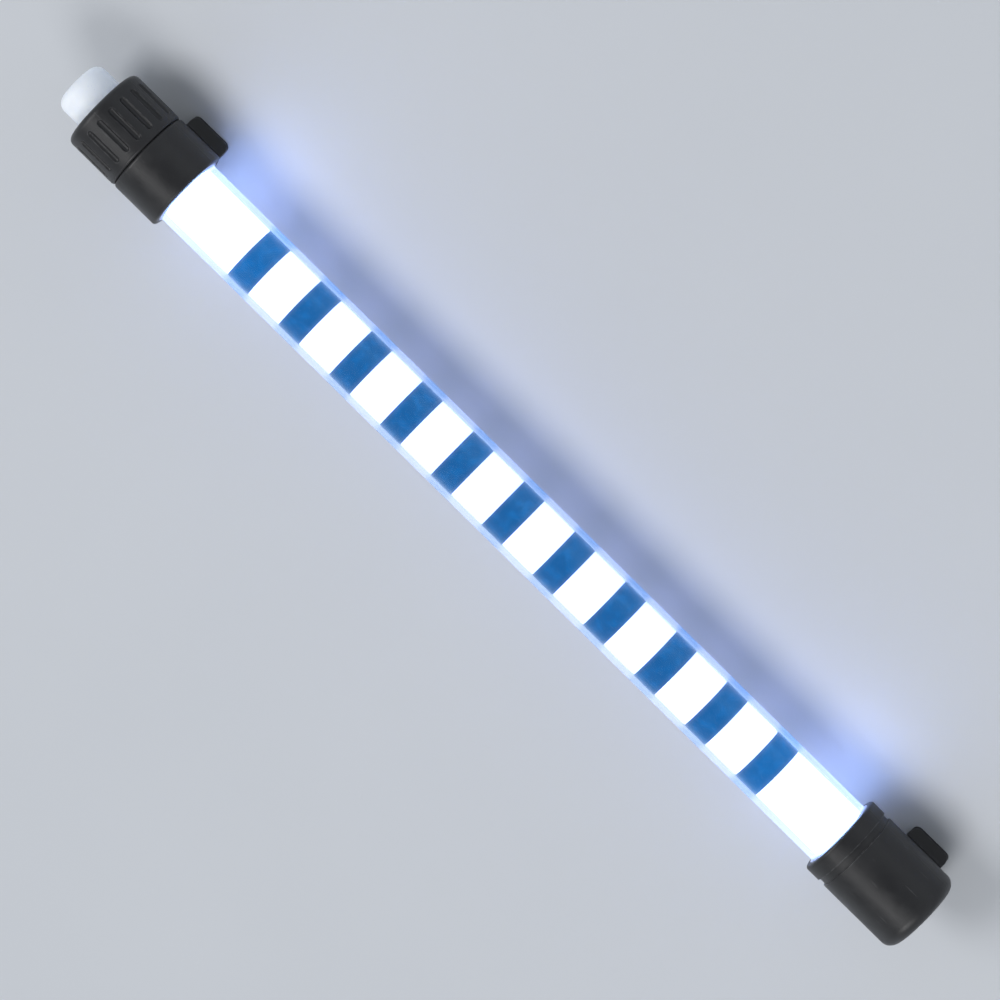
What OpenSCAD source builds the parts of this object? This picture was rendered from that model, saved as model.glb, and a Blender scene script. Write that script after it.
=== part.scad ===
// Spoke wheel light: a lit tube with a printed film inside, clipped along one wheel spoke.
// +X runs along the spoke from the hub end to the rim end, and +Z is up.
// The light stands on the feet of its two spoke clips, and the origin is under its middle.

/* [Tube] */
// Length of clear tube that shows between the two black ends
tube_len = 135; // [100:1:180]
// Outer diameter of the clear tube
tube_od = 11; // [10:0.5:13]
// Wall of the clear tube
tube_wall = 0.9; // [0.6:0.1:1.2]
// Length of tube held in the socket at each end
tube_insert = 4; // [3:0.5:8]
// Thickness of the gasket that each end of the tube seats on
gasket_t = 0.5; // [0.3:0.1:1]

/* [Printed film] */
// Distance from each end of the tube to the film, which reaches into the black ends around the lamp holders
film_inset = 1; // [0.5:0.5:2]
// Thickness of the rolled film
film_t = 0.2; // [0.1:0.05:0.3]
// Gap where the two edges of the rolled film meet, in degrees
film_seam = 4; // [1:1:10]
// Thickness of the printed bars
print_t = 0.1; // [0.05:0.01:0.15]
// Distance from one bar to the next
bar_pitch = 10.5; // [6:0.5:15]
// Width of a bar along the tube
bar_w = 4.2; // [2:0.1:5]
// Least plain length of film that shows before the first bar
bar_margin = 12; // [2:0.5:20]

/* [Spoke clips] */
// Diameter of the spoke
spoke_d = 2; // [1.6:0.1:2.6]
// How far each lip of a clip reaches over the spoke
clip_grip = 0.25; // [0.1:0.05:0.4]
// Wall beside the spoke
clip_wall = 1.4; // [1:0.1:2]
// Length of each clip along the spoke
clip_len = 7; // [4:0.5:7.5]
// Distance from an end's mouth, or from its far end, to its clip
clip_inset = 0.7; // [0.3:0.1:2]
// Gap between the spoke and the black ends
clip_gap = 0.25; // [0.1:0.05:1]
// Height of the lips under the spoke
lip_h = 1.6; // [1.2:0.1:3]
// How far the foot of each lip flares outwards
foot_flare = 1.4; // [0.5:0.1:3]
// Thickness of the foot at its edge
foot_t = 0.4; // [0.2:0.1:0.8]
// How far the mouth between the lips opens on each side
mouth_flare = 0.9; // [0.3:0.1:1.2]
// Depth of the flared mouth between the lips
mouth_h = 1.2; // [0.6:0.1:1.4]
// Radius of the corners of each foot
foot_round = 1; // [0.4:0.1:1.4]

/* [Battery housing and switch cap] */
// Wall around the tube in each socket
socket_wall = 1.4; // [1:0.1:2.5]
// Width of the ledge that the end of the tube seats on
seat_w = 0.6; // [0.3:0.1:0.8]
// Length of battery housing that shows
housing_len = 8.4; // [8.2:0.1:10]
// Wall of the spigot that the switch cap slides on
spigot_wall = 0.8; // [0.6:0.1:1.5]
// Length of the last cell that stands out of the spigot
cell_proud = 0.5; // [0.3:0.1:1]
// Wall of the switch cap around the spigot
skirt_wall = 1; // [0.7:0.1:2]
// Thickness of the switch cap's end
end_wall = 0.9; // [0.6:0.1:2]
// Width of the ledge in the switch cap that carries the switch board
board_ledge = 0.8; // [0.5:0.1:1.2]
// Number of grip flutes around the switch cap
flute_count = 18; // [8:1:24]
// Diameter of a grip flute
flute_d = 1.1; // [0.6:0.1:1.4]
// Depth of a grip flute
flute_depth = 0.35; // [0.2:0.05:0.5]
// Length of a grip flute
flute_len = 6.4; // [3:0.2:7]
// Radius on the outer edges of the black ends
edge_round = 0.5; // [0.2:0.1:0.8]
// Radius on the edge of the switch cap around the button
cap_round = 1; // [0.4:0.1:1.4]
// Thickness of the ring seal on the spigot
seal_d = 0.5; // [0.3:0.05:0.6]
// Distance from the housing's shoulder to the ring seal
seal_inset = 1.5; // [0.8:0.1:2.5]

/* [Rim cap] */
// Length of the rim cap
rim_len = 17.5; // [15.5:0.5:25]
// Thickness of the rim cap's end
rim_end_wall = 2; // [1:0.5:4]
// Radius of the rim cap's rounded end
rim_round = 1.8; // [0.5:0.1:3]
// Diameter of the recess in the rim cap's end
recess_d = 7.5; // [3:0.5:9]
// Depth of the recess in the rim cap's end
recess_depth = 0.4; // [0.2:0.1:0.8]
// Distance from the rim cap's mouth to its band groove
band_inset = 2.6; // [1:0.2:5]
// Width of the band groove
band_w = 1.2; // [0.6:0.1:2]
// Depth of the band groove
band_depth = 0.3; // [0.1:0.05:0.6]

/* [Push button] */
// Diameter of the push button
button_d = 8.6; // [6:0.1:9]
// How far the button stands out of the switch cap
button_out = 5; // [2:0.5:8]
// Travel of the button
button_travel = 0.7; // [0.3:0.1:1]
// Thickness of the flange that keeps the button in the switch cap
button_flange_t = 0.7; // [0.5:0.1:1.5]
// Radius of the button's rounded end
button_round = 1.6; // [0.5:0.1:2]
// Depth of the finger dish in the button's end
dish_depth = 0.35; // [0.1:0.05:0.6]
// Diameter of the nub under the button
nub_d = 3; // [2:0.1:4]

/* [Lamps] */
// Diameter of a lamp's lens
led_d = 5; // [4:0.1:5.4]
// Diameter of a lamp's rim
led_rim_d = 5.8; // [5.6:0.1:6]
// Thickness of a lamp's rim
led_rim_t = 1; // [0.8:0.1:1.5]
// Length of a lamp from its rim's back to its tip
led_len = 8.6; // [6:0.1:10]
// Diameter of a lamp's leads
lead_d = 0.5; // [0.4:0.05:0.6]
// Distance between a lamp's leads
lead_pitch = 2.54; // [2:0.01:3]
// How far the leads stand out behind their board
lead_out = 0.4; // [0.2:0.1:0.8]
// Thickness of the flange of a lamp holder
holder_flange_t = 0.6; // [0.4:0.1:1]
// Diameter of the insulated wires to the rim lamp
wire_d = 0.7; // [0.5:0.05:0.8]
// Distance between the two wires
wire_pitch = 1.3; // [1:0.1:1.6]

/* [Power and switch] */
// Diameter of a coin cell
cell_d = 9.5; // [9:0.1:10.5]
// Thickness of a coin cell
cell_t = 2.7; // [2:0.1:3.2]
// Height of the lid on a coin cell
cell_lid_h = 0.35; // [0.2:0.05:0.6]
// Width of the step around the lid
cell_lid_step = 0.85; // [0.5:0.05:1.2]
// Thickness of the circuit boards
board_t = 0.8; // [0.6:0.1:1.6]
// Thickness of the contact plate on the switch board
plate_t = 0.3; // [0.2:0.05:0.5]
// Diameter of the contact plate on the switch board
plate_d = 5.2; // [4:0.1:6]
// Height of the contact spring
spring_h = 1.4; // [1.2:0.1:2.5]
// Diameter of the spring's wire
spring_wire_d = 0.4; // [0.3:0.05:0.45]
// Diameter of the spring's base at the middle of its wire
spring_base_d = 6.2; // [6:0.1:6.4]
// Diameter of the spring's tip at the middle of its wire
spring_tip_d = 2.8; // [2:0.1:3]
// Turns of the spring
spring_turns = 2; // [1:1:2]
// Thickness of the contact strip
strip_t = 0.2; // [0.15:0.05:0.25]
// Width of the contact strip
strip_w = 2.4; // [1:0.1:3]
// Length of the strip's foot on the lamp board
strip_foot = 1.1; // [0.6:0.1:1.2]
// Width of the key switch
switch_w = 4.5; // [4:0.1:5]
// Height of the key switch's body
switch_h = 1.5; // [1.2:0.1:3]
// Diameter of the key switch's plunger
plunger_d = 2; // [1.5:0.1:3]
// Width of the driver chip
chip_w = 1.5; // [1:0.1:1.8]
// Height of the driver chip
chip_h = 0.8; // [0.5:0.1:1]
// Length of the resistor
resistor_len = 1.6; // [1:0.1:2]
// Width of the resistor
resistor_w = 0.8; // [0.5:0.1:1.2]
// Height of the resistor
resistor_h = 0.5; // [0.3:0.1:0.8]

/* [Fits] */
// Clearance of a piece glued into its seat
glue_fit = 0.05; // [0.02:0.01:0.1]
// Clearance of a piece that slides, or drops into its seat
slide_fit = 0.1; // [0.05:0.01:0.2]

/* [Hidden] */
$fn = 96;

// Radii of the tube and of what lies inside it
tube_r = tube_od / 2;
tube_bore_r = tube_r - tube_wall;
print_r = tube_bore_r - glue_fit;
film_r = print_r - print_t;
film_bore_r = film_r - film_t;
wire_r = film_bore_r - slide_fit - wire_d / 2;

// Radii of the battery housing, the rim cap and the switch cap
socket_r = tube_r + glue_fit;
housing_r = socket_r + socket_wall;
bay_r = tube_r - seat_w;
board_r = bay_r - slide_fit;
chamber_r = cell_d / 2 + strip_t + slide_fit;
spigot_r = chamber_r + spigot_wall;
skirt_r = spigot_r + slide_fit;
cap_r = skirt_r + skirt_wall;
switch_board_r = skirt_r - slide_fit;
pocket_r = skirt_r - board_ledge;
button_r = button_d / 2;
button_hole_r = button_r + slide_fit;
button_flange_r = pocket_r - slide_fit;

// Distances outwards from the mouth of an end, in the order that the pieces are stacked
seat_z = tube_insert + gasket_t;
board_z = seat_z + holder_flange_t;
board_back_z = board_z + board_t;
cells_z = board_back_z + spring_h;
cells_end_z = cells_z + 2 * cell_t;
spigot_end_z = cells_end_z - cell_proud;
strip_end_z = spigot_end_z + strip_t;
switch_board_z = cells_end_z + plate_t;
key_z = switch_board_z + board_t;
plunger_z = key_z + switch_h;
plunger_out = button_travel + 2 * slide_fit;
nub_z = plunger_z + plunger_out;
flange_z = nub_z + slide_fit;
cap_end_z = flange_z + button_flange_t;
hub_len = cap_end_z + end_wall;

// Places along the light
overall_len = button_out + hub_len + tube_len + rim_len;
hub_x = button_out + hub_len - overall_len / 2;
rim_x = hub_x + tube_len;

// Height of the spoke and of the tube's axis above the feet
clip_drop = max(housing_r, cap_r) + clip_gap + spoke_d / 2;
axis_h = clip_drop + spoke_d / 2 + lip_h;
rim_clip_z = rim_len - rim_round - clip_inset - clip_len;

// The film reaches into the black ends, and bars fill the length that shows between its plain ends
film_tuck = tube_insert - film_inset;
film_len = tube_len + 2 * film_tuck;
bar_count = floor((tube_len - 2 * bar_margin - bar_w) / bar_pitch) + 1;
bars_x = (hub_x + rim_x - (bar_count - 1) * bar_pitch) / 2;

// How far a cut runs past the face that it opens
over = 1;

// Points along the contact spring, and its least gap to itself one turn apart
spring_steps = 24;
spring_sides = 6;
spring_rise = spring_h - spring_wire_d - 2 * glue_fit;
function spring_point(i) =
    let (part = i / (spring_steps * spring_turns), turn = 360 * i / spring_steps)
    let (r = (spring_base_d + (spring_tip_d - spring_base_d) * part) / 2)
    [r * cos(turn), r * sin(turn), spring_wire_d / 2 + glue_fit + spring_rise * part];
spring_gap = spring_turns < 2 ? spring_h
    : min([for (i = [0:spring_steps * (spring_turns - 1)])
        norm(spring_point(i + spring_steps) - spring_point(i))]) - spring_wire_d;
echo(spring_gap = spring_gap);

// Frames: local Z runs outwards from the mouth of an end, and local X points down to the spoke
module at_hub() {
    translate([hub_x, 0, axis_h]) rotate([0, -90, 0]) rotate([0, 0, 180]) children();
}

module at_rim() {
    translate([rim_x, 0, axis_h]) rotate([0, 90, 0]) children();
}

// Frame for what lies along the tube: local Z runs along +X from the given place
module along_tube(x) {
    translate([x, 0, axis_h]) rotate([0, 90, 0]) children();
}

// A ring from one radius to another between two heights
module ring(outer_r, inner_r, z0, z1) {
    rotate_extrude() translate([inner_r, z0]) square([outer_r - inner_r, z1 - z0]);
}

// A plain round bar between two heights
module bar(r, z0, z1) {
    translate([0, 0, z0]) cylinder(r = r, h = z1 - z0);
}

// Half section of a round bar with a rounded far edge
module far_round_half(r, z0, z1, far_r) {
    translate([0, z0]) square([r - far_r, z1 - z0]);
    translate([0, z0]) square([r, z1 - z0 - far_r]);
    translate([r - far_r, z1 - far_r]) circle(far_r);
}

// Half section of a round bar with a rounded near edge and a rounded far edge
module rounded_half(r, z0, z1, near_r, far_r) {
    translate([0, z0]) square([r - near_r, near_r]);
    translate([r - near_r, z0 + near_r]) circle(near_r);
    far_round_half(r, z0 + near_r, z1, far_r);
}

// Section of a spoke clip across the spoke: a web, two lips that flare into feet, and the snap mouth
module clip_section() {
    half_w = spoke_d / 2 + clip_wall;
    throat = spoke_d / 2 - clip_grip;
    foot_w = half_w + foot_flare;
    mouth_w = throat + mouth_flare;
    lip_x = clip_drop + spoke_d / 2;
    mouth_x = axis_h - mouth_h;
    difference() {
        union() {
            translate([0, -half_w]) square([lip_x, 2 * half_w]);
            polygon([[lip_x, half_w], [axis_h - foot_t, foot_w], [axis_h, foot_w],
                [axis_h, -foot_w], [axis_h - foot_t, -foot_w], [lip_x, -half_w]]);
        }
        translate([clip_drop, 0]) circle(d = spoke_d);
        translate([clip_drop, -throat]) square([axis_h, 2 * throat]);
        polygon([[mouth_x, throat], [axis_h, mouth_w], [axis_h + over, mouth_w],
            [axis_h + over, -mouth_w], [axis_h, -mouth_w], [mouth_x, -throat]]);
    }
}

// Outline of a spoke clip seen from below, with rounded corners
module clip_outline() {
    foot_w = spoke_d / 2 + clip_wall + foot_flare;
    inner_w = foot_w - foot_round;
    translate([-foot_w, foot_round]) square([2 * foot_w, clip_len - 2 * foot_round]);
    translate([-inner_w, 0]) square([2 * inner_w, clip_len]);
    for (side = [-1, 1], y = [foot_round, clip_len - foot_round])
        translate([side * inner_w, y]) circle(foot_round);
}

module spoke_clip(z0) {
    translate([0, 0, z0]) intersection() {
        linear_extrude(clip_len) clip_section();
        rotate([90, 0, 90]) linear_extrude(axis_h) clip_outline();
    }
}

// Socket for the tube, with the bay for the lamp holder's flange and the board behind it
module socket_bores() {
    bar(socket_r, -over, seat_z);
    bar(bay_r, seat_z - over, board_back_z);
}

// Pieces that both ends share

module gasket() {
    color("dimgray") ring(tube_r, tube_bore_r, tube_insert, seat_z);
}

module led() {
    lens_end_z = board_z - led_len + led_d / 2;
    color([0.75, 0.85, 1]) union() {
        bar(led_rim_d / 2, board_z - led_rim_t, board_z);
        bar(led_d / 2, lens_end_z, board_z - led_rim_t / 2);
        translate([0, 0, lens_end_z]) sphere(d = led_d);
    }
}

module led_leads() {
    color("silver") for (side = [-1, 1]) translate([0, side * lead_pitch / 2, 0]) {
        bar(lead_d / 2, board_z, board_back_z + lead_out);
        translate([0, 0, board_back_z]) cylinder(r1 = lead_d, r2 = lead_d / 2, h = lead_out);
    }
}

module led_holder() {
    rim_pocket_r = led_rim_d / 2 + glue_fit;
    notch_x = wire_r - wire_d / 2 - slide_fit;
    notch_w = wire_pitch + wire_d + 2 * slide_fit;
    color("white") difference() {
        union() {
            bar(film_bore_r - glue_fit, 0, seat_z + holder_flange_t / 2);
            bar(board_r, seat_z, board_z);
        }
        bar(led_d / 2 + glue_fit, -over, board_z);
        bar(rim_pocket_r, board_z - led_rim_t - glue_fit, board_z + over);
        translate([notch_x, -notch_w / 2, -over]) cube([tube_r, notch_w, board_z + 2 * over]);
    }
}

module led_board() {
    color("darkgreen") difference() {
        bar(board_r, board_z, board_back_z);
        for (side = [-1, 1]) translate([0, side * lead_pitch / 2, 0])
            bar(lead_d / 2 + slide_fit, board_z - over, board_back_z + over);
    }
}

// Tube and film

module light_tube() {
    color([0.85, 0.93, 1, 0.35]) along_tube(hub_x - tube_insert)
        ring(tube_r, tube_bore_r, 0, tube_len + 2 * tube_insert);
}

// A sheet rolled to an outer radius, with its seam towards the spoke
module rolled_sheet(outer_r, thickness, z0, z1) {
    rotate([0, 0, film_seam / 2]) rotate_extrude(angle = 360 - film_seam)
        translate([outer_r - thickness, z0]) square([thickness, z1 - z0]);
}

module pattern_film() {
    color("white") along_tube(hub_x - film_tuck) rolled_sheet(film_r, film_t, 0, film_len);
}

module film_print() {
    color([0.05, 0.06, 0.09]) for (i = [0:bar_count - 1])
        along_tube(bars_x + i * bar_pitch) rolled_sheet(print_r, print_t, -bar_w / 2, bar_w / 2);
}

module lamp_wire(side) {
    along_tube(hub_x - board_z) translate([wire_r, side * wire_pitch / 2, 0])
        cylinder(d = wire_d, h = tube_len + 2 * board_z);
}

module red_wire() {
    color("firebrick") lamp_wire(1);
}

module black_wire() {
    color([0.08, 0.08, 0.08]) lamp_wire(-1);
}

// Hub end

module battery_housing() {
    seal_bed_r = skirt_r - slide_fit / 2 - seal_d - glue_fit;
    seal_z = housing_len + seal_inset;
    color([0.06, 0.06, 0.07]) at_hub() difference() {
        union() {
            rotate_extrude() rounded_half(housing_r, 0, housing_len, edge_round, edge_round);
            bar(spigot_r, housing_len - over, spigot_end_z);
            spoke_clip(clip_inset);
        }
        socket_bores();
        bar(chamber_r, board_back_z, spigot_end_z + over);
        ring(spigot_r + over, seal_bed_r, seal_z - seal_d / 2 - glue_fit, seal_z + seal_d / 2 + glue_fit);
    }
}

module hub_gasket() {
    at_hub() gasket();
}

module hub_led() {
    at_hub() led();
}

module hub_led_leads() {
    at_hub() led_leads();
}

module hub_led_holder() {
    at_hub() led_holder();
}

module hub_board() {
    at_hub() led_board();
}

module contact_spring() {
    last = spring_steps * spring_turns;
    rings = [for (i = [0:last], k = [0:spring_sides - 1])
        let (p = spring_point(i), turn = 360 * i / spring_steps, a = 360 * k / spring_sides)
        let (out = spring_wire_d / 2 * cos(a), up = spring_wire_d / 2 * sin(a))
        p + [out * cos(turn), out * sin(turn), up]];
    sides = [for (i = [0:last - 1], k = [0:spring_sides - 1])
        let (a = i * spring_sides + k, b = i * spring_sides + (k + 1) % spring_sides)
        each [[a, a + spring_sides, b], [b, a + spring_sides, b + spring_sides]]];
    near_end = [for (k = [1:spring_sides - 2]) [0, k, k + 1]];
    far_end = [for (k = [1:spring_sides - 2])
        [last * spring_sides, last * spring_sides + k + 1, last * spring_sides + k]];
    color("silver") at_hub() translate([0, 0, board_back_z])
        polyhedron(rings, concat(sides, near_end, far_end));
}

// The strip lies on the chamber's upper wall and its foot reaches over the edge of the lamp board
module contact_strip() {
    strip_r = chamber_r - glue_fit;
    turn = strip_w / strip_r * 180 / PI;
    color("gold") at_hub() rotate([0, 0, 180 - turn / 2]) rotate_extrude(angle = turn) {
        translate([strip_r - strip_t, board_back_z]) square([strip_t, strip_end_z - board_back_z]);
        translate([board_r - strip_foot, board_back_z]) square([strip_r - board_r + strip_foot, strip_t]);
    }
}

// A coin cell with its lid towards the spring
module coin_cell(z0) {
    color("lightgray") at_hub() rotate_extrude() {
        translate([0, z0]) square([cell_d / 2 - cell_lid_step, cell_t]);
        translate([0, z0 + cell_lid_h]) square([cell_d / 2, cell_t - cell_lid_h]);
    }
}

module inner_cell() {
    coin_cell(cells_z);
}

module outer_cell() {
    coin_cell(cells_z + cell_t);
}

module cap_seal() {
    color("steelblue") at_hub() rotate_extrude()
        translate([skirt_r - slide_fit / 2 - seal_d / 2, housing_len + seal_inset]) circle(d = seal_d);
}

// Rim end

module rim_cap() {
    color([0.06, 0.06, 0.07]) at_rim() difference() {
        union() {
            rotate_extrude() rounded_half(housing_r, 0, rim_len, edge_round, rim_round);
            spoke_clip(rim_clip_z);
        }
        socket_bores();
        bar(bay_r, board_back_z - over, rim_len - rim_end_wall);
        bar(recess_d / 2, rim_len - recess_depth, rim_len + over);
        ring(housing_r + over, housing_r - band_depth, band_inset, band_inset + band_w);
    }
}

module rim_gasket() {
    at_rim() gasket();
}

module rim_led() {
    at_rim() led();
}

module rim_led_leads() {
    at_rim() led_leads();
}

module rim_led_holder() {
    at_rim() led_holder();
}

module rim_board() {
    at_rim() led_board();
}

// Switch cap and what it carries

// Cutter for a grip flute with rounded ends
module flute() {
    bar(flute_d / 2, flute_d / 2, flute_len - flute_d / 2);
    for (z = [flute_d / 2, flute_len - flute_d / 2]) translate([0, 0, z]) sphere(d = flute_d);
}

module switch_cap() {
    flute_z = (housing_len + edge_round + hub_len - cap_round - flute_len) / 2;
    flute_place_r = cap_r + flute_d / 2 - flute_depth;
    color([0.06, 0.06, 0.07]) at_hub() difference() {
        rotate_extrude() rounded_half(cap_r, housing_len, hub_len, edge_round, cap_round);
        bar(skirt_r, housing_len - over, key_z);
        bar(pocket_r, key_z - over, cap_end_z);
        bar(button_hole_r, cap_end_z - over, hub_len + over);
        for (i = [0:flute_count - 1]) rotate([0, 0, 360 * i / flute_count])
            translate([flute_place_r, 0, flute_z]) flute();
    }
}

module switch_board() {
    color("darkgreen") at_hub() bar(switch_board_r, switch_board_z, key_z);
}

// A plate that meets the last cell, and a finger that meets the end of the contact strip
module cap_contacts() {
    strip_r = chamber_r - glue_fit;
    turn = strip_w / strip_r * 180 / PI;
    color("gold") at_hub() {
        bar(plate_d / 2, cells_end_z, switch_board_z);
        rotate([0, 0, 180 - turn / 2]) rotate_extrude(angle = turn)
            translate([strip_r - strip_t, strip_end_z]) square([2 * strip_t, switch_board_z - strip_end_z]);
    }
}

module key_switch() {
    color([0.15, 0.15, 0.16]) at_hub() difference() {
        translate([-switch_w / 2, -switch_w / 2, key_z]) cube([switch_w, switch_w, switch_h]);
        bar(plunger_d / 2 + slide_fit, plunger_z - plunger_out, plunger_z + over);
    }
}

module driver_chip() {
    color([0.1, 0.1, 0.1]) at_hub()
        translate([switch_w / 2 + slide_fit, -chip_w / 2, key_z]) cube([chip_w, chip_w, chip_h]);
}

module resistor() {
    color("saddlebrown") at_hub()
        translate([-switch_w / 2 - slide_fit - resistor_w, -resistor_len / 2, key_z])
            cube([resistor_w, resistor_len, resistor_h]);
}

// Push button

// The dish is cut by a sphere on its side, so that no pole of the sphere lies in the dish
module push_button() {
    button_end_z = hub_len + button_out;
    dish_edge_r = button_r - button_round;
    dish_r = (dish_edge_r * dish_edge_r + dish_depth * dish_depth) / (2 * dish_depth);
    color("ghostwhite") at_hub() difference() {
        rotate_extrude() {
            translate([0, nub_z]) square([nub_d / 2, cap_end_z - nub_z]);
            translate([0, flange_z]) square([button_flange_r, button_flange_t]);
            far_round_half(button_r, cap_end_z - button_flange_t / 2, button_end_z, button_round);
        }
        translate([0, 0, button_end_z - dish_depth + dish_r]) rotate([90, 0, 0]) sphere(dish_r);
    }
}

module switch_plunger() {
    color("firebrick") at_hub() bar(plunger_d / 2, plunger_z - slide_fit, nub_z);
}

light_tube();
pattern_film();
film_print();
battery_housing();
hub_gasket();
hub_led();
hub_led_leads();
hub_led_holder();
hub_board();
contact_spring();
contact_strip();
inner_cell();
outer_cell();
cap_seal();
red_wire();
black_wire();
rim_cap();
rim_gasket();
rim_led();
rim_led_leads();
rim_led_holder();
rim_board();
switch_cap();
switch_board();
cap_contacts();
key_switch();
driver_chip();
resistor();
push_button();
switch_plunger();
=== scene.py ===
# Looks of the spoke wheel light: materials, small finishing pieces, floor, lights and camera.
# Every place is in metres in the frame of the solids: +X from hub to rim, +Z up from the clip feet.
import math

import bmesh
import bpy
from mathutils import Matrix, Vector


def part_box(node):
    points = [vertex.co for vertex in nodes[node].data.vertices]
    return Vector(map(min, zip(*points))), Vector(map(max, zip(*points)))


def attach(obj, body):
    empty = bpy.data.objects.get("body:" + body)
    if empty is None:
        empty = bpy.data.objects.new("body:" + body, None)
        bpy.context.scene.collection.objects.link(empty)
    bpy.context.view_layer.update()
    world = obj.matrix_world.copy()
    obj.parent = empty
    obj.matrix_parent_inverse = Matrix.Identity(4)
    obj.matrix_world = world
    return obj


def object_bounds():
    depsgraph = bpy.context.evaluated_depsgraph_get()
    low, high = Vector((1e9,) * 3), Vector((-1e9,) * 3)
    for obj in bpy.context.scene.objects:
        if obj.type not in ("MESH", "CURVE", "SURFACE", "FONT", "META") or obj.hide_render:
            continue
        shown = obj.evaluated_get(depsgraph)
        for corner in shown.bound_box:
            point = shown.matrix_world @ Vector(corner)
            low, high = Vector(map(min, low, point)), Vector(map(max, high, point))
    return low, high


MM = 0.001
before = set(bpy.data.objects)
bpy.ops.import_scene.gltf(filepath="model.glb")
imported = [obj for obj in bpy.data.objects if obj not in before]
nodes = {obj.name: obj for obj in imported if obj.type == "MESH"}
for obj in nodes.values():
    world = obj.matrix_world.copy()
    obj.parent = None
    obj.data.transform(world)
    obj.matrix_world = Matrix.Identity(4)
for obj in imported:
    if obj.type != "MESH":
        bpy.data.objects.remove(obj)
cad_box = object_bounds()

# Places and sizes read from the solids
tube_low, tube_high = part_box("light_tube")
wire_low, wire_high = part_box("red_wire")
rim_low, rim_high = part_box("rim_cap")
cell_low, cell_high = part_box("outer_cell")
hub_mouth_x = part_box("battery_housing")[1].x
rim_mouth_x = rim_low.x
cap_end_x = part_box("switch_cap")[0].x
axis_z = (tube_low.z + tube_high.z) / 2
tube_r = (tube_high.z - tube_low.z) / 2
wire_y = abs(wire_low.y + wire_high.y) / 2
wire_r = (wire_high.y - wire_low.y) / 2

# The bars' edges along the tube, to a hundredth of a millimetre
EDGE_DIGITS = 5
bar_edges = sorted({round(corner.co.x, EDGE_DIGITS) for corner in nodes["film_print"].data.vertices})
bar_pitch = bar_edges[2] - bar_edges[0]
bar_half = (bar_edges[1] - bar_edges[0]) / 2

# Sockets of a Mix node that mixes colours
MIX_SHARE, MIX_FIRST, MIX_SECOND, MIX_RESULT = 0, 6, 7, 2

# Rays that look for edges and hollows, and where these begin and are in full
RAYS = 6
EDGE_BEGINS, EDGE_FULL = 0.985, 0.86
HOLLOW_BEGINS, HOLLOW_FULL = 0.75, 0.3


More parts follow.
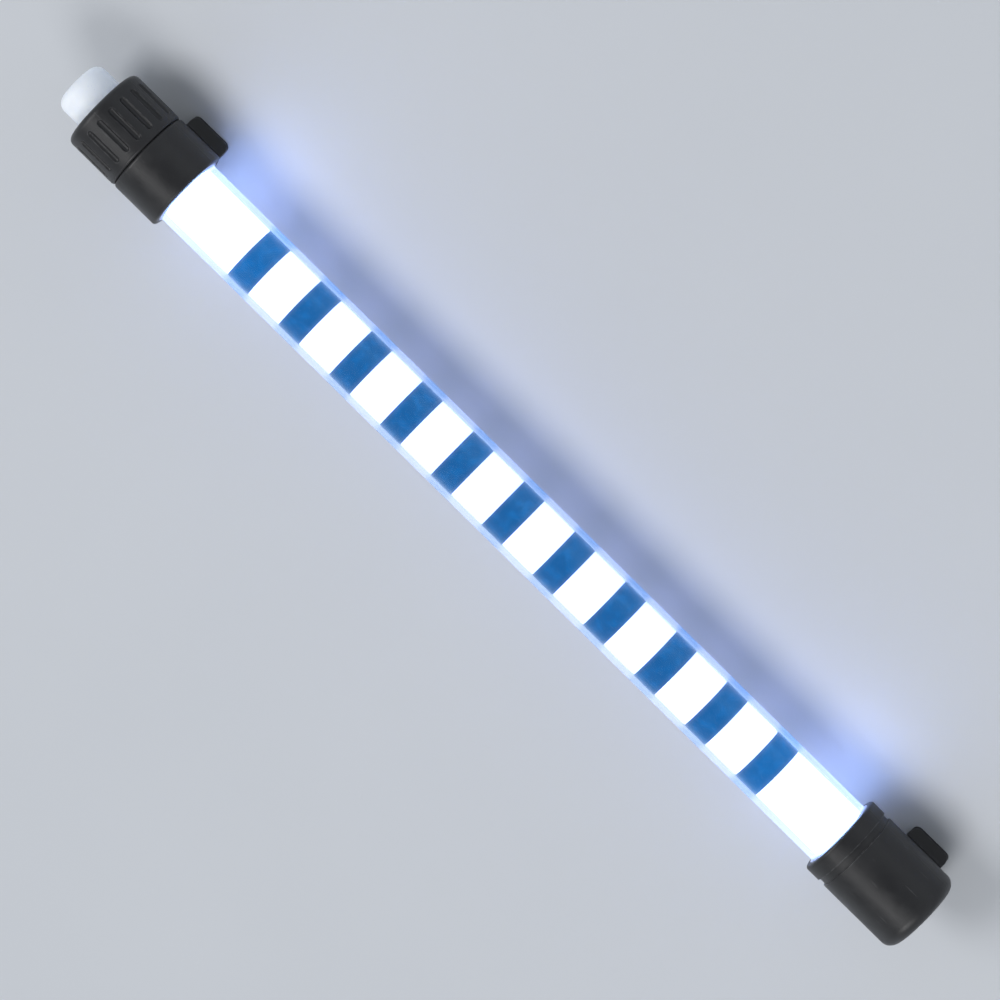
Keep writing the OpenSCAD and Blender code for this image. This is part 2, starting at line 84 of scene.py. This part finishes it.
class Finish:
    """A material in the making, with helpers that add its nodes."""

    def __init__(self, name):
        self.material = bpy.data.materials.new(name)
        self.material.use_nodes = True
        self.tree = self.material.node_tree
        self.shader = self.tree.nodes["Principled BSDF"]

    def node(self, kind, **settings):
        made = self.tree.nodes.new("ShaderNode" + kind)
        for name, value in settings.items():
            setattr(made, name, value)
        return made

    def feed(self, socket, value):
        """Links a socket to another one, or sets it to a plain value."""
        if isinstance(value, bpy.types.NodeSocket):
            self.tree.links.new(value, socket)
        elif socket.type == "RGBA":
            socket.default_value = (*value, 1)
        else:
            socket.default_value = value

    def set(self, **values):
        """Sets sockets of the main shader, named with _ for a space."""
        for name, value in values.items():
            self.feed(self.shader.inputs[name.replace("_", " ")], value)

    def math(self, operation, first, second=0.0):
        made = self.node("Math", operation=operation)
        self.feed(made.inputs[0], first)
        self.feed(made.inputs[1], second)
        return made.outputs[0]

    def plus(self, first, second):
        return self.math("ADD", first, second)

    def most(self, first, second):
        return self.math("MAXIMUM", first, second)

    def rest(self, share):
        """What a share leaves of 1."""
        return self.math("SUBTRACT", 1.0, share)

    def product(self, *factors, strength=None):
        """The product of some values, times a strength where there is one."""
        total = factors[0]
        for factor in factors[1:]:
            total = self.math("MULTIPLY", total, factor)
        if strength is None:
            return total
        return self.math("MULTIPLY", total, strength)

    def place(self):
        """Where a point lies in the frame of the solids."""
        return self.node("TexCoord").outputs["Object"]

    def axes(self):
        """A point's X, Y and Z."""
        made = self.node("SeparateXYZ")
        self.feed(made.inputs[0], self.place())
        return made.outputs

    def away(self, value, centre):
        """The distance of a value from a centre."""
        return self.math("ABSOLUTE", self.math("SUBTRACT", value, centre))

    def radius(self):
        """A point's distance from the tube's axis."""
        axes = self.axes()
        height = self.math("SUBTRACT", axes["Z"], axis_z)
        squares = [self.math("POWER", side, 2.0) for side in (axes["Y"], height)]
        return self.math("SQRT", self.plus(*squares))

    def by_lamps(self, length):
        """A share that is 1 at the mouths of the black ends and fades over a length of tube."""
        from_middle = self.away(self.axes()["X"], (hub_mouth_x + rim_mouth_x) / 2)
        from_mouth = self.most(self.math("SUBTRACT", (rim_mouth_x - hub_mouth_x) / 2, from_middle), 0.0)
        return self.math("EXPONENT", self.math("DIVIDE", from_mouth, -length))

    def off_bars(self, soft):
        """A share that is 0 over the bars and 1 between and beyond them, with soft edges."""
        x = self.axes()["X"]
        first, last = bar_edges[0] + bar_half, bar_edges[-1] - bar_half
        within = self.math("MINIMUM", self.most(x, first), last)
        from_row = self.math("PINGPONG", self.math("SUBTRACT", within, first), bar_pitch / 2)
        from_bar = self.plus(from_row, self.away(x, within))
        return self.spread(from_bar, bar_half - soft, bar_half + soft)

    def noise(self, place, size, detail=2.0):
        """Noise with features of about one size."""
        made = self.node("TexNoise")
        self.feed(made.inputs["Vector"], place)
        made.inputs["Scale"].default_value = 1 / size
        made.inputs["Detail"].default_value = detail
        return made.outputs["Fac"]

    def grain(self, size, detail=2.0, stretch=(1, 1, 1)):
        """Noise in the solids' frame, drawn out along an axis by a stretch under 1."""
        mapping = self.node("Mapping")
        self.feed(mapping.inputs["Vector"], self.place())
        mapping.inputs["Scale"].default_value = stretch
        return self.noise(mapping.outputs[0], size, detail)

    def rings(self, size):
        """Noise in rings around the tube's axis, each about one size wide."""
        place = self.node("CombineXYZ")
        self.feed(place.inputs["X"], self.radius())
        return self.noise(place.outputs[0], size)

    def spread(self, value, low, high, out_low=0.0, out_high=1.0):
        """Maps a value smoothly from one range to another, and stops at its ends."""
        made = self.node("MapRange", interpolation_type="SMOOTHSTEP")
        for socket, number in zip(made.inputs, (value, low, high, out_low, out_high)):
            self.feed(socket, number)
        return made.outputs[0]

    def patches(self, size, low, high, detail=2.0, stretch=(1, 1, 1)):
        """A share that rises from 0 to 1 as a grain goes from low to high."""
        return self.spread(self.grain(size, detail, stretch), low, high)

    def mix(self, share, first, second):
        """The first colour where a share is 0, and the second where it is 1."""
        made = self.node("Mix", data_type="RGBA")
        self.feed(made.inputs[MIX_SHARE], share)
        self.feed(made.inputs[MIX_FIRST], first)
        self.feed(made.inputs[MIX_SECOND], second)
        return made.outputs[MIX_RESULT]

    def bump(self, height, depth, below=None):
        """A normal raised by a height from 0 to 1, over another normal where there is one."""
        made = self.node("Bump")
        made.inputs["Distance"].default_value = depth
        self.feed(made.inputs["Height"], height)
        if below is not None:
            self.feed(made.inputs["Normal"], below)
        return made.outputs[0]

    def rounded(self, radius):
        """A normal that rounds the edges over."""
        made = self.node("Bevel", samples=RAYS)
        made.inputs["Radius"].default_value = radius
        return made.outputs[0]

    def edges(self, width):
        """A share that is 1 along the edges."""
        same = self.node("VectorMath", operation="DOT_PRODUCT")
        self.feed(same.inputs[0], self.rounded(width))
        self.feed(same.inputs[1], self.node("NewGeometry").outputs["Normal"])
        return self.spread(same.outputs["Value"], EDGE_BEGINS, EDGE_FULL)

    def crevices(self, reach):
        """A share that is 1 deep in corners and grooves."""
        made = self.node("AmbientOcclusion", samples=RAYS)
        made.inputs["Distance"].default_value = reach
        return self.spread(made.outputs["AO"], HOLLOW_BEGINS, HOLLOW_FULL)


# Materials, with colours in linear red, green and blue

# Black plastic: the rounding and the rubbed width of its edges, its mould seam and its spark texture
EDGE_ROUND = 0.15 * MM
EDGE_RUBBED = 0.35 * MM
SEAM_HALF = 0.05 * MM
SEAM_SLOPE = 0.04 * MM
SEAM_RAISE = 0.03 * MM
SPARK_SIZE = 0.18 * MM
SPARK_DEPTH = 0.018 * MM


def black_plastic():
    """Spark-textured black plastic, scuffed, worn on its edges and dusty in its corners."""
    skin = Finish("black_plastic")
    mottle = skin.grain(3 * MM)
    hollows = skin.crevices(0.7 * MM)
    ridges = skin.product(skin.edges(EDGE_RUBBED), skin.rest(hollows))
    rubbed = skin.product(ridges, skin.patches(0.9 * MM, low=0.4, high=0.62, detail=3), strength=0.85)
    scuffs = skin.patches(0.3 * MM, low=0.64, high=0.74, detail=3, stretch=(0.06, 1, 1))
    scuffed = skin.product(scuffs, skin.patches(4 * MM, low=0.48, high=0.66, detail=1), strength=0.5)
    dust = skin.product(hollows, skin.patches(0.5 * MM, low=0.35, high=0.7, detail=3), strength=0.3)
    body = skin.mix(mottle, (0.009, 0.009, 0.0105), (0.016, 0.016, 0.018))
    worn = skin.mix(skin.most(rubbed, scuffed), body, (0.085, 0.086, 0.09))
    from_seam = skin.away(skin.axes()["Z"], axis_z)
    seam = skin.spread(from_seam, SEAM_HALF + SEAM_SLOPE, SEAM_HALF)
    ridged = skin.bump(seam, SEAM_RAISE, skin.rounded(EDGE_ROUND))
    dusty = skin.product(dust, strength=0.6)
    skin.set(
        Base_Color=skin.mix(dust, worn, (0.13, 0.125, 0.115)),
        Roughness=skin.plus(skin.spread(mottle, 0.3, 0.7, out_low=0.33, out_high=0.45), dusty),
        Normal=skin.bump(skin.grain(SPARK_SIZE, detail=3), SPARK_DEPTH, ridged),
    )
    return skin.material


# Glow of the film at its middle and at its ends, and the length over which the lamps' glow fades
GLOW_MIDDLE = 1.9
GLOW_END = 5.5
GLOW_FADE = 9 * MM

# Painted glow of the tube's wall, for the film's light that the wall carries: over the bars and off
# them, how softly it changes, and what the lamps add
WALL_OVER_BARS = 0.15
WALL_OFF_BARS = 0.2
WALL_SOFT = 0.9 * MM
WALL_BY_LAMPS = 0.2


def clear_plastic():
    """Clear tube with smudges and hairline scratches, with a painted glow in its wall for the film's
    light.
    """
    skin = Finish("clear_plastic")
    hairs = skin.patches(0.12 * MM, low=0.7, high=0.76, stretch=(0.03, 1, 1))
    # Painted glow: the wall's emission, bluer over the bars, whiter between them and brighter by the
    # lamps
    painted_glow_share = skin.off_bars(WALL_SOFT)
    glow = skin.spread(painted_glow_share, 0.0, 1.0, WALL_OVER_BARS, WALL_OFF_BARS)
    painted_lamp_glow = skin.product(skin.by_lamps(GLOW_FADE), strength=WALL_BY_LAMPS)
    skin.set(
        Base_Color=(0.93, 0.97, 1.0), Specular_Tint=(0.5, 0.8, 1.0), IOR=1.49, Transmission_Weight=1.0,
        Roughness=skin.spread(skin.grain(9 * MM, detail=3), 0.35, 0.75, out_low=0.05, out_high=0.12),
        Normal=skin.bump(hairs, 0.002 * MM),
        Emission_Color=skin.mix(painted_glow_share, (0.0, 0.28, 0.95), (0.36, 0.49, 1.0)),
        Emission_Strength=skin.plus(glow, painted_lamp_glow),
    )
    see_through = skin.node("BsdfTransparent")
    skin.feed(see_through.inputs["Color"], (0.92, 0.96, 1.0))
    blend = skin.node("MixShader")
    skin.feed(blend.inputs[0], skin.node("LightPath").outputs["Is Shadow Ray"])
    skin.feed(blend.inputs[1], skin.shader.outputs[0])
    skin.feed(blend.inputs[2], see_through.outputs[0])
    skin.feed(skin.tree.nodes["Material Output"].inputs["Surface"], blend.outputs[0])
    return skin.material


# The wires' shadow on the film: where it begins and is in full below the tube's axis, and its strength
SHADOW_BEGINS = 2 * MM
SHADOW_FULL = 3.5 * MM
SHADOW = 0.35


def lit_film():
    """White film lit from behind, hottest by the lamps, with the wires' shadow along its foot."""
    skin = Finish("lit_film")
    axes = skin.axes()
    fade = skin.by_lamps(GLOW_FADE)
    cloud = skin.spread(skin.grain(0.5 * MM, detail=3), 0.3, 0.7, out_low=0.9, out_high=1.05)
    from_wires = skin.away(skin.away(axes["Y"], 0), wire_y)
    wires = skin.spread(from_wires, 1.8 * wire_r, 0.9 * wire_r)
    foot = skin.spread(axes["Z"], axis_z - SHADOW_BEGINS, axis_z - SHADOW_FULL)
    shaded = skin.product(wires, foot, strength=SHADOW)
    glow = skin.plus(skin.product(fade, strength=GLOW_END), GLOW_MIDDLE)
    skin.set(
        Base_Color=(0.46, 0.49, 0.53), Roughness=0.55,
        Emission_Color=skin.mix(fade, (0.42, 0.48, 1.0), (0.31, 0.48, 1.0)),
        Emission_Strength=skin.product(glow, cloud, skin.rest(shaded)),
    )
    return skin.material


def bar_ink():
    """Dark matte ink that lets a little blue through where it is thin."""
    skin = Finish("bar_ink")
    pinholes = skin.product(skin.patches(0.16 * MM, low=0.78, high=0.82, detail=1), strength=0.4)
    thin = skin.spread(skin.grain(1.4 * MM), 0.4, 0.75, out_low=0.04, out_high=0.14)
    skin.set(
        Base_Color=skin.mix(skin.grain(2 * MM), (0.002, 0.007, 0.014), (0.003, 0.011, 0.022)),
        Roughness=0.5, Specular_IOR_Level=0.1,
        Emission_Color=(0.0, 0.34, 1.0), Emission_Strength=skin.plus(pinholes, thin),
    )
    return skin.material


# The button's grubby parts: a band by the cap, and the finger dish with its clean border
GRUBBY_BAND = 1.2 * MM
DISH_CLEAN = 3 * MM
DISH_GRUBBY = 1 * MM


def silicone():
    """Soft white rubber, a little grubby by the cap and in its finger dish, with a faint painted blue
    glow.
    """
    skin = Finish("button_silicone")
    specks = skin.product(skin.patches(0.2 * MM, low=0.66, high=0.74), strength=0.3)
    by_cap = skin.spread(skin.axes()["X"], cap_end_x - GRUBBY_BAND, cap_end_x)
    touched = skin.product(skin.spread(skin.radius(), DISH_CLEAN, DISH_GRUBBY), strength=0.3)
    smears = skin.patches(0.9 * MM, low=0.35, high=0.7, detail=3)
    grime = skin.product(skin.most(by_cap, touched), smears, strength=0.4)
    skin.set(
        Base_Color=skin.mix(skin.most(specks, grime), (0.87, 0.89, 0.92), (0.44, 0.45, 0.48)),
        Roughness=skin.spread(skin.grain(1.5 * MM), 0.3, 0.7, out_low=0.36, out_high=0.52),
        Subsurface_Weight=0.35, Subsurface_Radius=(1.0, 1.1, 1.3), Subsurface_Scale=1.0 * MM,
        # A faint painted blue glow on the button
        Emission_Color=(0.4, 0.62, 1.0), Emission_Strength=0.1,
        Normal=skin.bump(skin.grain(0.25 * MM), 0.004 * MM),
    )
    return skin.material


# Glow of a lamp's dome: at its tip and all over, and how far from the tip it is hottest and fades out
LENS_TIP = 5.0
LENS_ALL = 0.8
LENS_HOT = 0.5 * MM
LENS_FADE = 5 * MM


def lamp_lens(name, tip_x):
    """A clear dome that is brightest by its tip."""
    skin = Finish(name)
    distance = skin.node("VectorMath", operation="DISTANCE")
    skin.feed(distance.inputs[0], skin.place())
    distance.inputs[1].default_value = (tip_x, 0, axis_z)
    core = skin.spread(distance.outputs["Value"], LENS_FADE, LENS_HOT)
    skin.set(
        Base_Color=(0.8, 0.9, 1.0), Roughness=0.08, IOR=1.53, Transmission_Weight=0.6,
        Emission_Color=skin.mix(core, (0.1, 0.32, 1.0), (0.5, 0.72, 1.0)),
        Emission_Strength=skin.plus(skin.product(core, strength=LENS_TIP), LENS_ALL),
    )
    return skin.material


def darker(colour, share):
    return tuple(share * part for part in colour)


def moulded(name, colour, roughness):
    """A plain moulded plastic or rubber with a fine grain."""
    skin = Finish(name)
    fine = skin.grain(0.12 * MM, detail=3)
    skin.set(
        Base_Color=skin.mix(skin.grain(0.8 * MM), darker(colour, 0.82), colour),
        Roughness=skin.spread(fine, 0.3, 0.7, roughness - 0.06, roughness + 0.06),
        Normal=skin.bump(fine, 0.006 * MM),
    )
    return skin.material


def metal(name, colour, roughness, stretch):
    """A plated or stamped metal, brushed along an axis and a little tarnished."""
    skin = Finish(name)
    brushed = skin.grain(0.06 * MM, detail=3, stretch=stretch)
    tarnish = skin.patches(1.2 * MM, low=0.45, high=0.75, detail=3)
    skin.set(
        Metallic=1.0, Base_Color=skin.mix(tarnish, colour, darker(colour, 0.6)),
        Roughness=skin.spread(brushed, 0.3, 0.7, roughness - 0.08, roughness + 0.12),
        Normal=skin.bump(brushed, 0.002 * MM),
    )
    return skin.material


def cell_steel():
    """Nickel-plated steel with faint rings from its pressing, and a few finger marks."""
    skin = Finish("cell_steel")
    turned = skin.rings(0.12 * MM)
    marks = skin.patches(1.6 * MM, low=0.5, high=0.7)
    sheen = skin.spread(turned, 0.35, 0.65, out_low=0.2, out_high=0.3)
    skin.set(
        Metallic=1.0, Base_Color=skin.mix(marks, (0.72, 0.72, 0.71), (0.58, 0.58, 0.57)),
        Roughness=skin.plus(sheen, skin.product(marks, strength=0.12)),
        Normal=skin.bump(turned, 0.003 * MM),
    )
    return skin.material


# Distance between the copper rings of the boards
TRACK_PITCH = 0.9 * MM


def circuit_board():
    """Green mask over ring-shaped copper."""
    skin = Finish("circuit_board")
    ripple = skin.math("SINE", skin.product(skin.radius(), strength=2 * math.pi / TRACK_PITCH))
    copper = skin.spread(ripple, 0.1, 0.3)
    skin.set(
        Base_Color=skin.mix(copper, (0.012, 0.11, 0.045), (0.03, 0.2, 0.08)),
        Roughness=0.35, Normal=skin.bump(copper, 0.02 * MM),
    )
    return skin.material


def dress(material, *names):
    for name in names:
        mesh = nodes[name].data
        mesh.materials.clear()
        mesh.materials.append(material)


black = black_plastic()
clear = clear_plastic()
cell = cell_steel()
steel = metal("plated_steel", (0.68, 0.69, 0.7), roughness=0.3, stretch=(1, 0.04, 1))
brass = metal("contact_brass", (0.78, 0.58, 0.26), roughness=0.32, stretch=(0.05, 1, 1))
dress(black, "battery_housing", "switch_cap", "rim_cap")
dress(clear, "light_tube")
dress(lit_film(), "pattern_film")
dress(bar_ink(), "film_print")
dress(silicone(), "push_button")
dress(lamp_lens("hub_lens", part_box("hub_led")[1].x), "hub_led")
dress(lamp_lens("rim_lens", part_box("rim_led")[0].x), "rim_led")
dress(moulded("lamp_holder", (0.82, 0.84, 0.87), roughness=0.4), "hub_led_holder", "rim_led_holder")
dress(moulded("grey_gasket", (0.11, 0.11, 0.12), roughness=0.6), "hub_gasket", "rim_gasket")
dress(moulded("blue_seal", (0.035, 0.1, 0.26), roughness=0.45), "cap_seal")
dress(moulded("red_insulation", (0.5, 0.015, 0.012), roughness=0.4), "red_wire")
dress(moulded("black_insulation", (0.02, 0.02, 0.021), roughness=0.4), "black_wire")
dress(moulded("switch_body", (0.05, 0.05, 0.055), roughness=0.45), "key_switch")
dress(moulded("chip_epoxy", (0.02, 0.02, 0.021), roughness=0.5), "driver_chip")
dress(moulded("resistor_glaze", (0.03, 0.03, 0.034), roughness=0.25), "resistor")
dress(moulded("plunger", (0.42, 0.04, 0.03), roughness=0.4), "switch_plunger")
dress(circuit_board(), "hub_board", "rim_board", "switch_board")
dress(steel, "contact_spring", "hub_led_leads", "rim_led_leads")
dress(cell, "inner_cell", "outer_cell")
dress(brass, "contact_strip", "cap_contacts")


# Pieces added to the solids

# Edges sharper than this angle stay sharp, and the steps of a full turn and of an arc
SHARP_ANGLE = math.radians(40)
TURN_STEPS = 96
ARC_STEPS = 10


def finished(name, shape, material, body):
    """Turns a closed shape into a piece with a material, which moves with a body."""
    bmesh.ops.recalc_face_normals(shape, faces=shape.faces)
    mesh = bpy.data.meshes.new(name)
    shape.to_mesh(mesh)
    shape.free()
    mesh.materials.append(material)
    mesh.shade_smooth()
    mesh.set_sharp_from_angle(angle=SHARP_ANGLE)
    piece = bpy.data.objects.new(name, mesh)
    bpy.context.scene.collection.objects.link(piece)
    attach(piece, body)


def lathe(name, profile, material, body, steps=TURN_STEPS):
    """A closed shape turned about the tube's axis from points of (x, radius)."""
    shape = bmesh.new()
    rings = []
    for x, r in profile:
        turns = [2 * math.pi * k / steps for k in range(steps)] if r > 0 else [0]
        rings.append([shape.verts.new((x, r * math.cos(a), axis_z + r * math.sin(a))) for a in turns])
    for near, far in zip(rings, rings[1:] + rings[:1]):
        for k in range(steps):
            around = ((near, k), (near, k + 1), (far, k + 1), (far, k))
            corners = list(dict.fromkeys(ring[turn % len(ring)] for ring, turn in around))
            if len(corners) > 2:
                shape.faces.new(corners)
    finished(name, shape, material, body)


def arc(x, r, radius, start, end):
    """Points of (x, radius) on an arc, with angles in degrees from +X towards larger radii."""
    turns = [math.radians(start + (end - start) * k / ARC_STEPS) for k in range(ARC_STEPS + 1)]
    return [(x + radius * math.cos(a), r + radius * math.sin(a)) for a in turns]


# A bead of clear glue where the tube enters each black end
GLUE = 0.4 * MM


def glue_bead(name, mouth_x, outwards):
    """A hollow fillet between the tube and the mouth of a black end."""
    curve = arc(mouth_x + outwards * GLUE, tube_r + GLUE, GLUE, 270, 270 - outwards * 90)
    lathe(name, curve + [(mouth_x, tube_r)], clear, "light_body")


# The mark that the mould's gate leaves in the recess of the rim cap's end: a pad and a stub on it
RECESS = 0.4 * MM
PAD_R = 0.7 * MM
PAD_TAPER = 0.1 * MM
PAD_RAISE = 0.1 * MM
STUB_R = 0.3 * MM
STUB_TAPER = 0.05 * MM
STUB_RAISE = 0.28 * MM
STUB_DIP = 0.06 * MM
GATE_STEPS = 40


def gate_mark():
    """A low round pad with the torn stub of the gate on it."""
    foot_x = rim_high.x - RECESS
    pad_x = foot_x + PAD_RAISE
    stub_x = foot_x + STUB_RAISE
    pad = [(foot_x, 0), (foot_x, PAD_R + PAD_TAPER), (pad_x, PAD_R)]
    stub = [(pad_x, STUB_R + STUB_TAPER), (stub_x, STUB_R), (stub_x - STUB_DIP, STUB_R / 2), (stub_x, 0)]
    lathe("gate_mark", pad + stub, black, "light_body", steps=GATE_STEPS)


# The plus mark pressed into the outer cell's end, beside the cap's plate and turned from the top to -Y
PLUS_SHARE = 0.76
PLUS_TURN = math.radians(55)
PLUS_ARM = 0.85 * MM
PLUS_BAR = 0.17 * MM
PLUS_RAISE = 0.06 * MM
PLUS_TAPER = 0.05 * MM


def plus_outline(trim):
    """The twelve corners of a plus, as (y, z) from its middle, with its edges moved in by a trim."""
    long, short = PLUS_ARM - trim, PLUS_BAR - trim
    corner = [Vector((long, short)), Vector((short, short)), Vector((short, long))]
    quarters = [Matrix.Rotation(math.radians(90 * turn), 2) for turn in range(4)]
    return [quarter @ point for quarter in quarters for point in corner]


def plus_mark():
    """A raised plus with slanted sides."""
    reach = PLUS_SHARE * (cell_high.z - cell_low.z) / 2
    middle = Vector((-reach * math.sin(PLUS_TURN), axis_z + reach * math.cos(PLUS_TURN)))
    shape = bmesh.new()
    levels = []
    for x, trim in ((cell_low.x, 0), (cell_low.x - PLUS_RAISE, PLUS_TAPER)):
        levels.append([shape.verts.new((x, *(middle + point))) for point in plus_outline(trim)])
        shape.faces.new(levels[-1])
    low, high = levels
    for k in range(len(low)):
        shape.faces.new((low[k - 1], low[k], high[k], high[k - 1]))
    finished("plus_mark", shape, cell, "light_body")


glue_bead("hub_glue_bead", hub_mouth_x, outwards=1)
glue_bead("rim_glue_bead", rim_mouth_x, outwards=-1)
gate_mark()
plus_mark()


# Floor, lights and camera

FLOOR_HALF = 10
FLOOR_CLOUDS = 60 * MM


def floor():
    """A pale, faintly clouded floor."""
    skin = Finish("pale_floor")
    clouds = skin.grain(FLOOR_CLOUDS, detail=3)
    skin.set(Roughness=0.55, Base_Color=skin.mix(clouds, (0.55, 0.57, 0.605), (0.58, 0.6, 0.635)))
    corners = [(FLOOR_HALF * x, FLOOR_HALF * y, 0) for x, y in ((-1, -1), (1, -1), (1, 1), (-1, 1))]
    mesh = bpy.data.meshes.new("floor")
    mesh.from_pydata(corners, [], [(0, 1, 2, 3)])
    mesh.materials.append(skin.material)
    piece = bpy.data.objects.new("floor", mesh)
    bpy.context.scene.collection.objects.link(piece)


# Two lamps over the light's ends: how far they are out to the sides, in front and up, and their powers
LAMP_OUT = 0.4
LAMP_FRONT = 0.14
LAMP_UP = 0.74
LAMP_SIZE = (0.46, 0.4)
HUB_POWER = 2.7
RIM_POWER = 2.4


def softbox(name, out, power):
    """A rectangular lamp that faces the middle of the light."""
    where = Vector((out, -LAMP_FRONT, LAMP_UP))
    lamp = bpy.data.lights.new(name, "AREA")
    lamp.shape = "RECTANGLE"
    lamp.size, lamp.size_y = LAMP_SIZE
    lamp.energy = power
    piece = bpy.data.objects.new(name, lamp)
    piece.location = where
    piece.rotation_euler = (Vector((0, 0, axis_z)) - where).to_track_quat("-Z", "Y").to_euler()
    piece.visible_camera = False
    bpy.context.scene.collection.objects.link(piece)


# Colour of the studio's room, and the brightness of its walls and ceiling
ROOM = (0.9, 0.95, 1.0, 1)
WALLS = 0.85
CEILING = 0.2


def surroundings():
    """A pale room that darkens from its walls to its ceiling."""
    world = bpy.data.worlds.new("studio")
    bpy.context.scene.world = world
    world.use_nodes = True
    tree = world.node_tree
    sky = tree.nodes["Background"]
    sky.inputs["Color"].default_value = ROOM
    parts = tree.nodes.new("ShaderNodeSeparateXYZ")
    tree.links.new(tree.nodes.new("ShaderNodeTexCoord").outputs["Generated"], parts.inputs[0])
    fade = tree.nodes.new("ShaderNodeMapRange")
    fade.inputs["To Min"].default_value = WALLS
    fade.inputs["To Max"].default_value = CEILING
    tree.links.new(parts.outputs["Z"], fade.inputs["Value"])
    tree.links.new(fade.outputs[0], sky.inputs["Strength"])


def studio():
    bpy.context.scene.view_settings.view_transform = "Standard"
    surroundings()
    softbox("hub_side", -LAMP_OUT, HUB_POWER)
    softbox("rim_side", LAMP_OUT, RIM_POWER)


# The view is square to the light, from well above its clips, with the hub end at the upper left
VIEW_RISE = math.radians(55)
VIEW_TURN = math.radians(44.6)
LENS_MM = 180
SENSOR_MM = 36
LIGHT_SHARE = 0.84
NEAREST = 0.01


def camera():
    """A long lens, so far away that the light takes its share of the picture's diagonal."""
    along = Vector((1, 0, 0))
    towards = Vector((0, math.cos(VIEW_RISE), math.sin(VIEW_RISE)))
    off_floor = Vector((0, -math.sin(VIEW_RISE), math.cos(VIEW_RISE)))
    right = along * math.cos(VIEW_TURN) - off_floor * math.sin(VIEW_TURN)
    up = -along * math.sin(VIEW_TURN) - off_floor * math.cos(VIEW_TURN)
    length = cad_box[1][0] - cad_box[0][0]
    away = length / (LIGHT_SHARE * math.sqrt(2)) * LENS_MM / SENSOR_MM
    middle = Vector((0, 0, axis_z))
    view = bpy.data.cameras.new("camera")
    view.lens = LENS_MM
    view.sensor_width = SENSOR_MM
    view.sensor_fit = "HORIZONTAL"
    view.clip_start = NEAREST
    piece = bpy.data.objects.new("camera", view)
    turned = Matrix((right, up, towards)).transposed().to_4x4()
    piece.matrix_world = Matrix.Translation(middle + towards * away) @ turned
    bpy.context.scene.collection.objects.link(piece)
    bpy.context.scene.camera = piece


floor()
studio()
camera()
